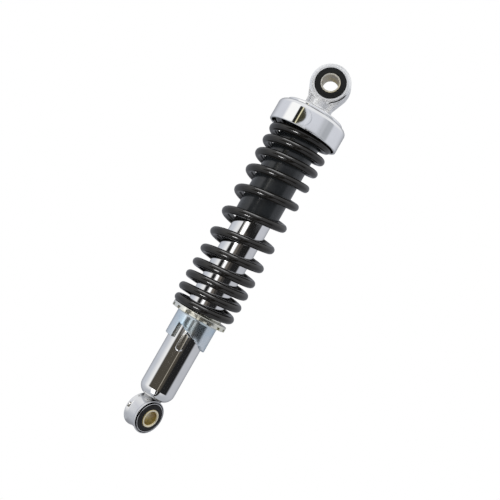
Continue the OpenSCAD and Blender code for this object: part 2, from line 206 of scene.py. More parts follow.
def sheet(name, rows, closed_along=False, caps=False, sharp_degrees=40):
    """A mesh through rows of points; each row closes on itself."""
    count, columns = len(rows), len(rows[0])
    vertices = [point for row in rows for point in row]
    faces = []
    for i in range(count if closed_along else count - 1):
        a, b = i * columns, ((i + 1) % count) * columns
        for j in range(columns):
            k = (j + 1) % columns
            faces.append((a + j, a + k, b + k, b + j))
    if caps:
        faces.append(tuple(range(columns)))
        faces.append(tuple((count - 1) * columns + j for j in range(columns)))
    return new_object(name, vertices, faces, sharp_degrees)


def prism(name, outline, half_depth):
    """A flat outline of (x, z) points, thickened along Y."""
    count = len(outline)
    vertices = [(x, y, z) for y in (-half_depth, half_depth) for x, z in outline]
    faces = [tuple(range(count)), tuple(range(count, 2 * count))]
    for k in range(count):
        n = (k + 1) % count
        faces.append((k, n, count + n, count + k))
    return new_object(name, vertices, faces)


def place(obj, matrix):
    """Moves a mesh's points, so that the object itself stays at the origin."""
    obj.data.transform(matrix)
    obj.data.update()
    return obj


def join(parts):
    """Joins closed meshes into the first of them."""
    bm = bmesh.new()
    for part in parts:
        bm.from_mesh(part.data)
    bm.to_mesh(parts[0].data)
    bm.free()
    for part in parts[1:]:
        bpy.data.objects.remove(part)
    return parts[0]


def bake_modifiers(obj):
    """Replaces the mesh by its evaluated shape and drops the modifiers."""
    bpy.context.view_layer.update()
    shape = obj.evaluated_get(bpy.context.evaluated_depsgraph_get())
    mesh = bpy.data.meshes.new_from_object(shape)
    obj.modifiers.clear()
    obj.data = mesh
    return obj


def cast(obj, voxel, smoothing):
    """Melts joined solids into one skin with soft inside and outside corners."""
    remesh = obj.modifiers.new("remesh", "REMESH")
    remesh.mode = "VOXEL"
    remesh.voxel_size = voxel
    smooth = obj.modifiers.new("smooth", "SMOOTH")
    smooth.iterations = smoothing
    return bake_modifiers(obj)


def cut(obj, cutter):
    """Takes the cutter's shape out of the object."""
    boolean = obj.modifiers.new("cut", "BOOLEAN")
    boolean.operation = "DIFFERENCE"
    boolean.object = cutter
    boolean.solver = "EXACT"
    bake_modifiers(obj)
    bpy.data.objects.remove(cutter)
    return obj


# ---------------------------------------------------------------- shader nodes

class Tree:
    """Short calls for building a node tree."""

    def __init__(self, owner):
        owner.use_nodes = True
        self.tree = owner.node_tree
        self.tree.nodes.clear()

    def node(self, kind, inputs=None, **settings):
        node = self.tree.nodes.new(kind)
        for key, value in settings.items():
            setattr(node, key, value)
        for key, value in (inputs or {}).items():
            if isinstance(value, bpy.types.NodeSocket):
                self.tree.links.new(value, node.inputs[key])
            else:
                node.inputs[key].default_value = value
        return node

    def add(self, kind, inputs=None, out=0, **settings):
        return self.node(kind, inputs, **settings).outputs[out]

    def math(self, operation, *values):
        return self.add("ShaderNodeMath", dict(enumerate(values)), operation=operation)

    def spread(self, value, from_low, from_high, to_low=0.0, to_high=1.0, smooth=False):
        kind = "SMOOTHSTEP" if smooth else "LINEAR"
        return self.add("ShaderNodeMapRange", {
            "Value": value, "From Min": from_low, "From Max": from_high,
            "To Min": to_low, "To Max": to_high}, interpolation_type=kind)

    def mix(self, share, a, b):
        return self.add("ShaderNodeMix", {"Factor": share, 6: a, 7: b}, out=2,
                        data_type="RGBA")

    def noise(self, scale, detail=3.0, rough=0.5, stretch=None):
        """Noise with so many blobs to a metre, in the piece's own coordinates."""
        where = self.add("ShaderNodeTexCoord", out=3)
        if stretch:
            where = self.add("ShaderNodeMapping", {"Vector": where, "Scale": stretch})
        return self.add("ShaderNodeTexNoise", {
            "Vector": where, "Scale": scale, "Detail": detail, "Roughness": rough})

    def place_z(self):
        """The height of the shaded point."""
        where = self.add("ShaderNodeTexCoord", out=3)
        return self.add("ShaderNodeSeparateXYZ", {"Vector": where}, out=2)

    def bump(self, height, distance):
        return self.add("ShaderNodeBump", {"Height": height, "Distance": distance})


def grey(value, tint=0.0):
    """A grey, with a tint that runs from warm (-) to cool (+)."""
    return (value * (1 - tint), value, value * (1 + tint), 1)


def surface(name, inputs_from):
    """A Principled material; inputs_from(tree) returns its inputs."""
    material = bpy.data.materials.new(name)
    tree = Tree(material)
    shader = tree.add("ShaderNodeBsdfPrincipled", inputs_from(tree))
    tree.node("ShaderNodeOutputMaterial", {"Surface": shader})
    return material


# Painted crevice shade: the near-black that metal turns to where walls close round it, in place
# of shade in corners, grooves and gaps
PAINTED_CREVICE_SHADE = (0.012, 0.012, 0.013, 1)
FILM_BLUE = (0.50, 0.66, 0.78, 1)
FILM_YELLOW = (0.83, 0.82, 0.68, 1)
FILM_GOLD = (0.58, 0.44, 0.09, 1)
FILM_MAUVE = (0.48, 0.37, 0.36, 1)
FILM_RUBBED = (0.86, 0.80, 0.62, 1)
YELLOW_FROM_Z = (0.0900, 0.0925)


def metal(name, colour, rough, uneven=0.03, grain=900, stretch=None, bump=0.0, film=None,
          film_share=0.0, metallic=1.0, crevice=0.0):
    """Plated or machined metal: uneven roughness and fine grain. A film is a colour or a
    function that builds one; a crevice is how near a wall has to be for the colour to darken
    there as painted shade."""
    def inputs_from(tree):
        cloud = tree.noise(60, 4)
        fine = tree.noise(grain, 2, stretch=stretch)
        roughness = tree.math("ADD", tree.spread(cloud, 0.3, 0.7, rough - uneven, rough),
                              tree.spread(fine, 0.3, 0.7, 0, uneven))
        base = tree.mix(tree.spread(cloud, 0.35, 0.65), grey(colour * 0.94), grey(colour))
        if film:
            tinted = film(tree) if callable(film) else film
            patches = tree.spread(tree.noise(38, 3, 0.6), 0.35, 0.7, 0.3, film_share, True)
            base = tree.mix(patches, base, tinted)
        # Painted shade: near walls the colour darkens towards PAINTED_CREVICE_SHADE, standing
        # in for shade in corners, grooves and gaps
        if crevice:
            open_sky = tree.add("ShaderNodeAmbientOcclusion", {"Distance": crevice}, out=1)
            base = tree.mix(tree.spread(open_sky, 0.15, 0.75), PAINTED_CREVICE_SHADE, base)
        inputs = {"Base Color": base, "Metallic": metallic, "Roughness": roughness}
        if bump:
            inputs["Normal"] = tree.bump(fine, bump)
        return inputs
    return surface(name, inputs_from)


def blue_film(tree):
    """Blue, turning to yellow from just under the collar's flange."""
    return tree.mix(tree.spread(tree.place_z(), *YELLOW_FROM_Z), FILM_BLUE, FILM_YELLOW)


def gold_film(tree):
    """Gold with patches of mauve inside a bore, rubbed pale on open faces."""
    patches = tree.spread(tree.noise(110, 2, 0.6), 0.52, 0.68, 0, 0.6)
    gold = tree.mix(patches, FILM_GOLD, FILM_MAUVE)
    openness = tree.add("ShaderNodeAmbientOcclusion", {"Distance": 12 * MM}, out=1)
    return tree.mix(tree.spread(openness, 0.82, 1.0), gold, FILM_RUBBED)


def coat(name, colour, rough, peel=0.0, peel_scale=500, specular=0.5, tint=0.0):
    """Paint or powder coat, with orange peel."""
    def inputs_from(tree):
        cloud = tree.noise(90, 4)
        shades = tree.mix(tree.spread(cloud, 0.3, 0.7), grey(colour * 0.85, tint),
                          grey(colour * 1.2, tint))
        return {
            "Base Color": shades,
            "Roughness": tree.spread(cloud, 0.3, 0.7, rough * 0.85, rough * 1.15),
            "Specular IOR Level": specular,
            "Normal": tree.bump(tree.noise(peel_scale, 2, 0.4), peel)}
    return surface(name, inputs_from)


def rubber(name, colour=0.008, rough=0.5, grain=0.00002):
    """Moulded rubber with a little dust and a fine grain."""
    def inputs_from(tree):
        cloud = tree.noise(120, 4)
        dust = tree.spread(tree.noise(300, 5, 0.7), 0.5, 0.8, 0, 0.2)
        return {
            "Base Color": tree.mix(dust, grey(colour), grey(colour * 2.2, -0.03)),
            "Roughness": tree.spread(cloud, 0.3, 0.7, rough - 0.08, rough + 0.1),
            "Specular IOR Level": 0.25,
            "Normal": tree.bump(tree.noise(2500, 3, 0.6), grain)}
    return surface(name, inputs_from)


# Finishes given a crevice get painted shade in their corners and gaps
MATERIALS = {
    "chrome_tube": metal("chrome_tube", 0.84, 0.05, 0.015),
    "chrome_cap": metal("chrome_cap", 0.86, 0.05, 0.015),
    "satin_chrome": metal("satin_chrome", 0.80, 0.10, 0.02, crevice=3.5 * MM),
    "weld_chrome": metal("weld_chrome", 0.50, 0.24, 0.04, crevice=5.0 * MM),
    "cast_aluminium": metal("cast_aluminium", 0.93, 0.42, 0.06, grain=1400, bump=3e-6,
                            crevice=1.1 * MM),
    "machined_aluminium": metal("machined_aluminium", 0.80, 0.22, 0.05, stretch=(1, 1, 30),
                                bump=4e-6),
    "clear_zinc": metal("clear_zinc", 0.82, 0.20, 0.03, film=blue_film, film_share=0.95,
                        crevice=2.2 * MM),
    "yellow_zinc": metal("yellow_zinc", 0.60, 0.38, 0.05, stretch=(1, 1, 12), bump=1e-6,
                         film=gold_film, film_share=1.0, metallic=0.85),
    "plain_steel": metal("plain_steel", 0.55, 0.28, 0.06, stretch=(1, 1, 20), bump=4e-6),
    "spring_steel": metal("spring_steel", 0.42, 0.25, 0.05, bump=3e-6,
                          film=(0.25, 0.30, 0.42, 1), film_share=0.5),
    "hard_chrome": metal("hard_chrome", 0.80, 0.06, 0.02),
    "bearing_bronze": metal("bearing_bronze", 0.50, 0.35, 0.05, bump=6e-6,
                            film=(0.52, 0.34, 0.16, 1), film_share=1.0),
    "gloss_black": coat("gloss_black", 0.006, 0.13, 2e-5, 420, specular=0.48, tint=-0.15),
    "satin_black": coat("satin_black", 0.022, 0.17, 1e-6, 900, tint=0.12),
    "black_rubber": rubber("black_rubber"),
    "bump_rubber": rubber("bump_rubber", 0.03, 0.7, 0.00012),
    "natural_nylon": coat("natural_nylon", 0.62, 0.45, 1e-5),
}


# ---------------------------------------------------------------- how pieces join the frame

def dress(obj, node, rides=True, finish=None):
    """Gives a piece its finish, hides the CAD node it stands for and follows its body."""
    obj.data.materials.clear()
    obj.data.materials.append(MATERIALS[finish or SLOTS[node]])
    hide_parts(node)
    if rides:
        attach(obj, BODIES[node])
    return obj


def dress_cad_nodes():
    """Every node carried over from the CAD gets its finish, seen or not."""
    for node, obj in frame["nodes"].items():
        obj.data.materials.clear()
        obj.data.materials.append(MATERIALS[SLOTS[node]])


# ---------------------------------------------------------------- damper tube

TUBE_R = 15.45 * MM
TUBE_WALL = 1.7 * MM
DOME_R = 9.5 * MM
LIP_R = 11.5 * MM
LIP_WALL = 1.8 * MM
LUG_TURN = math.radians(-141)
LUG_TOP = 78 * MM
LUG_LENGTH = 17 * MM
LUG_HALF_WIDTH = 3.25 * MM
LUG_PROUD = 2.4 * MM
LUG_SIDE = 0.9 * MM
LUG_MARGIN = 2 * MM
LUG_ZONE = 1.7  # half widths to each side of a lug that get the fine columns
LUG_COLUMNS = 73
PLAIN_COLUMNS = 71
LUG_ROWS = 105
LONG_WALL = 50 * MM
TUBE_CENTRE_R = 0.3 * MM


def lug_rise(across, z):
    """How far a stop lug stands out of the tube, at a place across it and a height."""
    top, bottom = LUG_TOP - LUG_HALF_WIDTH, LUG_TOP - LUG_LENGTH + LUG_HALF_WIDTH
    off = np.hypot(across, z - np.clip(z, bottom, top))
    share = np.clip((LUG_HALF_WIDTH - off) / LUG_SIDE, 0, 1)
    return LUG_PROUD * share * share * (3 - 2 * share)


def damper_tube():
    """Drawn tube with a domed bottom, a rolled-in top and two pressed stop lugs."""
    bottom, top = low_z("damper_tube"), high_z("damper_tube")
    bore = TUBE_R - TUBE_WALL
    fine = LUG_HALF_WIDTH * LUG_ZONE / TUBE_R
    turns = np.concatenate([
        np.linspace(-fine, fine, LUG_COLUMNS)[:-1],
        np.linspace(fine, math.pi - fine, PLAIN_COLUMNS)[:-1]])
    turns = np.concatenate([turns, turns + math.pi]) + LUG_TURN
    across = TUBE_R * np.abs(np.sin(turns - LUG_TURN))
    outline = rounded([
        (TUBE_R, bottom, DOME_R), (TUBE_R, top, LIP_WALL), (LIP_R, top, 0.3 * MM),
        (LIP_R, top - LIP_WALL, 0.1 * MM), (bore, top - LIP_WALL, 0),
        (bore, bottom + TUBE_WALL, DOME_R - TUBE_WALL),
        (TUBE_CENTRE_R, bottom + TUBE_WALL, 0), (TUBE_CENTRE_R, bottom, 0)], 24)
    lug_rows = np.linspace(LUG_TOP - LUG_LENGTH - LUG_MARGIN, LUG_TOP + LUG_MARGIN, LUG_ROWS)
    rows = []
    for (r, z), (next_r, next_z) in zip(outline, outline[1:] + outline[:1]):
        outside = r > TUBE_R - 1e-6 and next_r > TUBE_R - 1e-6
        has_lugs = outside and next_z - z > LONG_WALL
        for height in [z, *lug_rows] if has_lugs else [z]:
            out = r + (lug_rise(across, height) if has_lugs else 0)
            rows.append(np.stack([out * np.cos(turns), out * np.sin(turns),
                                  np.full_like(turns, height)], 1))
    rows = [list(map(tuple, row)) for row in rows]
    tube = sheet("damper_tube_drawn", rows, closed_along=True)
    return dress(tube, "damper_tube")


# ---------------------------------------------------------------- lower eye

LOWER_EYE_WIDTH = 18 * MM
LOWER_RIM_R = 14.9 * MM
LOWER_WAIST_R = 13.8 * MM
LOWER_RUBBER_R = 12.5 * MM
LOWER_RUBBER_HALF = 10.3 * MM
LOWER_SLEEVE_R = 8.15 * MM
LOWER_SLEEVE_BORE_R = 6.05 * MM
LOWER_SLEEVE_HALF = 10.5 * MM
SHELL_R = 13.0 * MM
GAP_R = 14.2 * MM
GAP_DEPTH = 2.6 * MM
RIM_RECESS = 0.9 * MM


def lower_eye():
    """Turned barrel with flared rims and a gap round its shell, and the weld to the tube."""
    half = LOWER_EYE_WIDTH / 2
    rim = half - RIM_RECESS
    near = [
        (LOWER_RUBBER_R, half, 0.2 * MM), (SHELL_R, half, 0.2 * MM),
        (SHELL_R, half - GAP_DEPTH, 0), (GAP_R, half - GAP_DEPTH, 0),
        (GAP_R, rim, 0.15 * MM), (LOWER_RIM_R, rim, 0.3 * MM),
        (LOWER_RIM_R, half - 2.2 * MM, 0.8 * MM), (LOWER_WAIST_R, half - 4 * MM, 3 * MM)]
    far = [(r, -y, fillet) for r, y, fillet in reversed(near)]
    outline = rounded(near + far, 8)
    barrel = lathe("lower_eye_barrel", outline, 192)
    place(barrel, eye_matrix("lower_eye_bore") @ ALONG_BOLT)
    dress(barrel, "lower_eye")
    dress(lower_weld(), "lower_eye", finish="weld_chrome")


WELD_LOW_R = 9.2 * MM
WELD_HIGH_R = 9.6 * MM
WELD_NECK_R = 6.6 * MM
WELD_RIPPLES = 46
WELD_RIPPLE = 0.01 * MM


def lower_weld():
    """A bead with soft ripples that fills the corner between the barrel and the dome."""
    lean = WELD_HIGH_R - (TUBE_R - DOME_R)
    dome_drop = math.sqrt(DOME_R ** 2 - lean ** 2)
    head = low_z("damper_tube") + DOME_R - dome_drop + 0.15 * MM
    rows = []
    for share in np.linspace(0, 1, 9):
        low, middle, high = (1 - share) ** 2, 2 * share * (1 - share), share ** 2
        row = []
        for turn in np.linspace(0, 2 * math.pi, 230, endpoint=False):
            side, along = math.cos(turn), math.sin(turn)
            foot = math.sqrt(LOWER_WAIST_R ** 2 - (WELD_LOW_R * side) ** 2) - 0.25 * MM
            r = WELD_LOW_R * low + WELD_NECK_R * middle + WELD_HIGH_R * high
            z = foot * low + (foot + head) / 2 * middle + head * high
            r += WELD_RIPPLE * math.sin(WELD_RIPPLES * turn) * math.sin(math.pi * share)
            row.append((r * side, r * along, z))
        rows.append(row)
    core_top = [tuple(Vector(p) * 0.5 + Vector((0, 0, p[2] * 0.5))) for p in rows[-1]]
    core_foot = [(x, y, rows[0][k][2] - 0.4 * MM) for k, (x, y, _) in enumerate(core_top)]
    return sheet("lower_eye_weld", rows + [core_top, core_foot], closed_along=True)


def rubber_bush(name, node, sleeve_r, eye_r, half, eye_half):
    """Moulded rubber: a raised ring round the sleeve and a groove beside the barrel."""
    step = (eye_r - sleeve_r) / 4
    face = [
        (sleeve_r, half - 0.3 * MM, 0.2 * MM),
        (sleeve_r + 0.5 * MM, half, 0.3 * MM),
        (sleeve_r + step * 1.6, half, 0.4 * MM),
        (sleeve_r + step * 1.9, half - 0.5 * MM, 0.3 * MM),
        (eye_r - step * 0.9, half - 0.45 * MM, 0.4 * MM),
        (eye_r - step * 0.3, eye_half - 0.3 * MM, 0.3 * MM),
        (eye_r, eye_half - 0.5 * MM, 0.05 * MM)]
    mirrored = [(r, -y, fillet) for r, y, fillet in reversed(face)]
    bush = lathe(name, rounded(face + mirrored, 4), 144)
    mount = "lower_eye_bore" if "lower" in node else "upper_eye_bore"
    place(bush, eye_matrix(mount) @ ALONG_BOLT)
    return dress(bush, node)


def sleeve(name, node, bore_r, out_r, half):
    """Cut and chamfered steel tube for the bolt."""
    wall = out_r - bore_r
    outer, inner = min(0.45 * MM, wall * 0.3), min(0.8 * MM, wall * 0.42)
    far = [
        (bore_r, -half + inner, 0.2 * MM), (bore_r + inner, -half, 0.1 * MM),
        (out_r - outer, -half, 0.1 * MM), (out_r, -half + outer, 0.1 * MM)]
    near = [(r, -y, fillet) for r, y, fillet in reversed(far)]
    outline = rounded(far + near, 3)
    tube = lathe(name, outline, 128)
    mount = "lower_eye_bore" if "lower" in node else "upper_eye_bore"
    place(tube, eye_matrix(mount) @ ALONG_BOLT)
    return dress(tube, node)


# ---------------------------------------------------------------- preload collar

COLLAR_BORE_R = 15.54 * MM
COLLAR_R = 18.5 * MM
SKIRT_BOTTOM = 69 * MM
FLANGE_HEIGHT = 4.5 * MM
SPIGOT_HEIGHT = 4 * MM
SEAT_COUNT = 5
SEAT_NOW = 1
SEAT_ANGLE = math.radians(25)
SEAT_RISE = 2.9 * MM
RAMP_GAP = 0.3 * MM
NOTCH_DEPTH = 0.5 * MM
NOTCH_R = 4.2 * MM
CAM_STEPS = 1440
CAM_EASE = 5
CAM_START = math.radians(60)
SEAT_LEFT = 3.6 * MM
SEAT_RIGHT = 4.6 * MM
SPANNER_NOTCHES = 15
SPANNER_FIRST = math.radians(6)
SPANNER_WIDTH = 4.2 * MM
SPANNER_DEPTH = 1.4 * MM
SPANNER_HEIGHT = 2.6 * MM
INNER_EDGE = 0.3 * MM
OUTER_EDGE = 0.6 * MM
FLANGE_FILLET = 2.0 * MM
FLANGE_LIP = 0.5 * MM
LIP_CORNER = 0.29  # how far along the lip's round its 45 degree point lies


def cam_edge(turn):
    """Height of the collar's lower edge at an angle from the first lug."""
    middle_r = (COLLAR_R + COLLAR_BORE_R) / 2
    slope = SEAT_RISE / (SEAT_ANGLE * middle_r)
    edge = SKIRT_BOTTOM
    for half_turn in (-math.pi, 0, math.pi):
        for seat in range(SEAT_COUNT):
            off = (turn - half_turn - (seat - SEAT_NOW) * SEAT_ANGLE) * middle_r
            if -SEAT_LEFT <= off <= SEAT_RIGHT:
                ramp = LUG_TOP + RAMP_GAP - (seat - SEAT_NOW) * SEAT_RISE
                edge = max(edge, ramp - slope * off)
                if abs(off) < NOTCH_R:
                    dip = NOTCH_DEPTH - NOTCH_R + math.sqrt(NOTCH_R ** 2 - off ** 2)
                    edge = max(edge, ramp + dip)
    return edge


def cam_outline():
    """The cam edge of half the collar as (turn, height), with its corners eased."""
    turns = np.linspace(0, math.pi, CAM_STEPS + 1)[:-1] - CAM_START
    heights = np.array([cam_edge(t) for t in turns])
    kernel = np.hanning(2 * CAM_EASE + 3)[1:-1]
    kernel /= kernel.sum()
    wrapped = np.concatenate([heights[-CAM_EASE:], heights, heights[:CAM_EASE]])
    return turns, np.convolve(wrapped, kernel, "valid")


def quarter_turn(steps):
    """Angles from nothing to a right angle."""
    return [math.pi / 2 * k / steps for k in range(steps + 1)]


def preload_collar():
    """Pressed collar: a skirt with the cam edge, a notched flange and a short spigot."""
    top = high_z("preload_collar")
    flange_top = top - SPIGOT_HEIGHT
    flange_under = flange_top - FLANGE_HEIGHT
    flange_r = radius("preload_collar")
    turns, heights = cam_outline()
    turns = np.concatenate([turns, turns + math.pi])
    heights = np.concatenate([heights, heights])
    pitch = 2 * math.pi / SPANNER_NOTCHES
    off = (turns - SPANNER_FIRST + pitch / 2) % pitch - pitch / 2
    notched = np.abs(off) * flange_r < SPANNER_WIDTH / 2
    notch_top = flange_under + SPANNER_HEIGHT
    notch_r = flange_r - SPANNER_DEPTH

    def ring(r, z, in_notch=None):
        """A row at a radius and a height, with others inside the spanner notches."""
        r = np.full_like(turns, r) if np.isscalar(r) else r
        z = np.full_like(turns, z) if np.isscalar(z) else z
        if in_notch:
            r = np.where(notched, in_notch[0], r)
            z = np.where(notched, in_notch[1], z)
        angle = turns + LUG_TURN
        return [tuple(p) for p in np.stack([r * np.cos(angle), r * np.sin(angle), z], 1)]

    rows = []
    for a in quarter_turn(4):
        r = COLLAR_BORE_R + INNER_EDGE * (1 - math.cos(a))
        rows.append(ring(r, heights + INNER_EDGE * (1 - math.sin(a))))
    for a in quarter_turn(4):
        r = COLLAR_R - OUTER_EDGE * (1 - math.sin(a))
        rows.append(ring(r, heights + OUTER_EDGE * (1 - math.cos(a))))
    wall_top = flange_under - FLANGE_FILLET
    for share in (0.35, 0.7, 1.0):
        rows.append(ring(COLLAR_R, heights + (wall_top - heights) * share))
    for a in quarter_turn(8)[1:]:
        r = COLLAR_R + FLANGE_FILLET * (1 - math.cos(a))
        rows.append(ring(r, flange_under - FLANGE_FILLET * (1 - math.sin(a))))
    corner = FLANGE_LIP * LIP_CORNER
    rows.append(ring(notch_r, flange_under))
    rows.append(ring(flange_r - FLANGE_LIP, flange_under, (notch_r, flange_under + 1.0 * MM)))
    rows.append(ring(flange_r - corner, flange_under + corner, (notch_r, notch_top - 0.3 * MM)))
    rows.append(ring(flange_r, flange_under + FLANGE_LIP, (notch_r + 0.3 * MM, notch_top)))
    rows.append(ring(flange_r, notch_top + 0.02 * MM))
    for a in quarter_turn(4):
        r = flange_r - FLANGE_LIP * (1 - math.cos(a))
        rows.append(ring(r, flange_top - FLANGE_LIP * (1 - math.sin(a))))
    spigot_r = COLLAR_R + 0.5 * MM
    for r, z in rounded([(spigot_r, flange_top, 0.3 * MM), (spigot_r, top, 0.5 * MM),
                         (COLLAR_BORE_R, top, 0.4 * MM)], 4):
        rows.append(ring(r, z))
    collar = sheet("preload_collar_pressed", rows, closed_along=True, sharp_degrees=35)
    return dress(collar, "preload_collar")


# ---------------------------------------------------------------- main spring

WIRE_R = 3.5 * MM
COIL_OUT_R = 28.3 * MM
WIRE_SIDES = 32
WIRE_CHAMFER = 0.5 * MM
STEPS_PER_TURN = 80
EASE_STEPS = 6
COIL_FIRST_TURN = math.radians(133.6)
COIL_LOW_TURNS = 0.25
SPRING_TURNS = 13
OPEN_PITCH = 9.84 * MM
OPEN_CENTRE_TURN = 6.45
OPEN_HALF_TURNS = 3.98
FLAT_TURNS = 0.15
END_INSET = 1.5 * MM
END_INSET_TURNS = 0.9


def coil_path():
    """Turns, heights and radii of the wire's centre from its lower end to its upper end."""
    low, high = low_z("main_spring") + WIRE_R, high_z("main_spring") - WIRE_R
    coil_r = COIL_OUT_R - WIRE_R
    end_turn = SPRING_TURNS - COIL_LOW_TURNS
    turn = np.linspace(-COIL_LOW_TURNS, end_turn, SPRING_TURNS * STEPS_PER_TURN + 1)

    def open_rise(at):
        """How much the open middle turns have added by a given turn."""
        x = np.clip((at - OPEN_CENTRE_TURN) / OPEN_HALF_TURNS, -1, 1)
        eased = (x + 1) / 2 + np.sin(math.pi * x) / (2 * math.pi)
        return OPEN_PITCH * OPEN_HALF_TURNS * eased

    plain = (high - low - open_rise(end_turn)) / (end_turn - 2 * FLAT_TURNS)
    z = np.clip(low + (turn - FLAT_TURNS) * plain + open_rise(turn), low, high)
    kernel = np.ones(2 * EASE_STEPS + 1) / (2 * EASE_STEPS + 1)
    z[EASE_STEPS:-EASE_STEPS] = np.convolve(z, kernel, "valid")
    out = coil_r - END_INSET * np.clip(1 - turn / END_INSET_TURNS, 0, 1)
    return turn, z, out


def open_share(turn, z):
    """Share of the spring's open gaps that lies below each turn: 0 at the collar, 1 at the
    cap. The closed end turns move with their seats."""
    gap = z - 2 * WIRE_R * turn
    inner = (turn > 1.0) & (turn < turn[-1] - 1.0)
    first, last = gap[inner][0], gap[inner][-1]
    return np.interp(turn, turn[inner], (gap[inner] - first) / (last - first))


def main_spring():
    """Round wire with open middle turns and chamfered ends."""
    turn, z, out = coil_path()
    angle = COIL_FIRST_TURN + 2 * math.pi * turn
    centre = np.stack([out * np.cos(angle), out * np.sin(angle), z], 1)
    along = np.gradient(centre, axis=0)
    along /= np.linalg.norm(along, axis=1)[:, None]
    outward = np.stack([np.cos(angle), np.sin(angle), np.zeros_like(angle)], 1)
    outward -= along * (outward * along).sum(1)[:, None]
    outward /= np.linalg.norm(outward, axis=1)[:, None]
    upward = np.cross(along, outward)
    share = open_share(turn, z)

    around = np.linspace(0, 2 * math.pi, WIRE_SIDES, endpoint=False)
    across, above = np.cos(around)[:, None], np.sin(around)[:, None]
    last = len(turn) - 1
    stations = [(0, 0.0, WIRE_R - WIRE_CHAMFER), (0, WIRE_CHAMFER, WIRE_R)]
    stations += [(i, 0.0, WIRE_R) for i in range(1, last)]
    stations += [(last, -WIRE_CHAMFER, WIRE_R), (last, 0.0, WIRE_R - WIRE_CHAMFER)]
    rows, shares = [], []
    for i, shift, r in stations:
        spot = centre[i] + along[i] * shift
        ring = spot + r * (across * outward[i] + above * upward[i])
        rows.append([tuple(p) for p in ring])
        shares += [share[i]] * WIRE_SIDES
    spring = sheet("main_spring_coil", rows, caps=True)
    dress(spring, "main_spring", rides=False)
    follow_both_ends(spring, np.array(shares))


def follow_both_ends(spring, shares):
    """The lower end lifts with the collar and the upper end follows the cap; each point
    between them takes its share of both."""
    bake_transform(spring)
    group = spring.vertex_groups.new(name="collar_end")
    for index, share in enumerate(shares):
        group.add([index], float(1 - share), "REPLACE")
    hook = spring.modifiers.new("collar_end", "HOOK")
    hook.object = bpy.data.objects["body:spring"]
    hook.vertex_group = group.name
    bpy.context.view_layer.update()
    hook.matrix_inverse = hook.object.matrix_world.inverted() @ spring.matrix_world


# ---------------------------------------------------------------- spring cap and dust cover

CAP_WALL = 1.8 * MM
CAP_SHOULDER = 4.5 * MM
CAP_STEP = 2.6 * MM
CAP_ROOF_INSET = 5.4 * MM
CAP_ROOF_EDGE = 1.4 * MM
ROOF_HOLE_R = 9 * MM
COVER_WALL = 1.2 * MM


def spring_cap():
    """Pressed and chromed cup over the top of the spring."""
    out, bottom, top = radius("spring_cap"), low_z("spring_cap"), high_z("spring_cap")
    inner = out - CAP_WALL
    shelf = top - CAP_STEP
    roof = out - CAP_ROOF_INSET
    outline = rounded([
        (inner, bottom, 0.5 * MM), (out, bottom, 0.8 * MM), (out, shelf, CAP_SHOULDER),
        (roof, shelf, 0.3 * MM), (roof, top, CAP_ROOF_EDGE),
        (ROOF_HOLE_R, top, 0.3 * MM), (ROOF_HOLE_R, top - CAP_WALL, 0.3 * MM),
        (roof - CAP_WALL, top - CAP_WALL, 0.3 * MM),
        (roof - CAP_WALL, shelf - CAP_WALL, 0.3 * MM),
        (inner, shelf - CAP_WALL, CAP_SHOULDER - CAP_WALL)], 16)
    return dress(lathe("spring_cap_pressed", outline, 256), "spring_cap")


def dust_cover():
    """Deep-drawn tube that hangs from the cap and slides over the damper tube."""
    out, bottom, top = radius("dust_cover"), low_z("dust_cover"), high_z("dust_cover")
    inner = out - COVER_WALL
    outline = rounded([
        (inner, bottom, 0.3 * MM), (out, bottom, 0.5 * MM), (out, top, 2 * MM),
        (ROOF_HOLE_R, top, 0.2 * MM), (ROOF_HOLE_R, top - COVER_WALL, 0.2 * MM),
        (inner, top - COVER_WALL, 0.8 * MM)], 8)
    return dress(lathe("dust_cover_drawn", outline, 192), "dust_cover")


# ---------------------------------------------------------------- upper eye

UPPER_EYE_WIDTH = 19 * MM
UPPER_RUBBER_R = 13.6 * MM
UPPER_BARREL_R = 17.7 * MM
BOSS_R = 16.2 * MM
BOSS_PROUD = 1.3 * MM
WEB_HALF = 6 * MM
NECK_HALF = 11.7 * MM
RIB_PROUD = 1.2 * MM
COLUMN_R = 9 * MM
BASE_R = 12.8 * MM
SPIGOT_R = 8.95 * MM
ROD_R = 5 * MM
UPPER_RUBBER_HALF = 10.4 * MM
UPPER_SLEEVE_R = 8.5 * MM
UPPER_SLEEVE_BORE_R = 7.05 * MM
UPPER_SLEEVE_HALF = 10.8 * MM
NECK_HEIGHT = 8.5 * MM
SHOULDER_TURN = math.radians(25)
RIB_WIDTH = 2.3 * MM
COLUMN_HEIGHT = 16 * MM
FOOT_HEIGHT = 2 * MM
FOOT_FLARE = 2.6 * MM
ROD_HOLE_DEPTH = 8.5 * MM
UNDERCUT = 1.5 * MM  # the solids start this far under the base and are then cut level
CAST_VOXEL = 0.32 * MM
CAST_SMOOTHING = 5


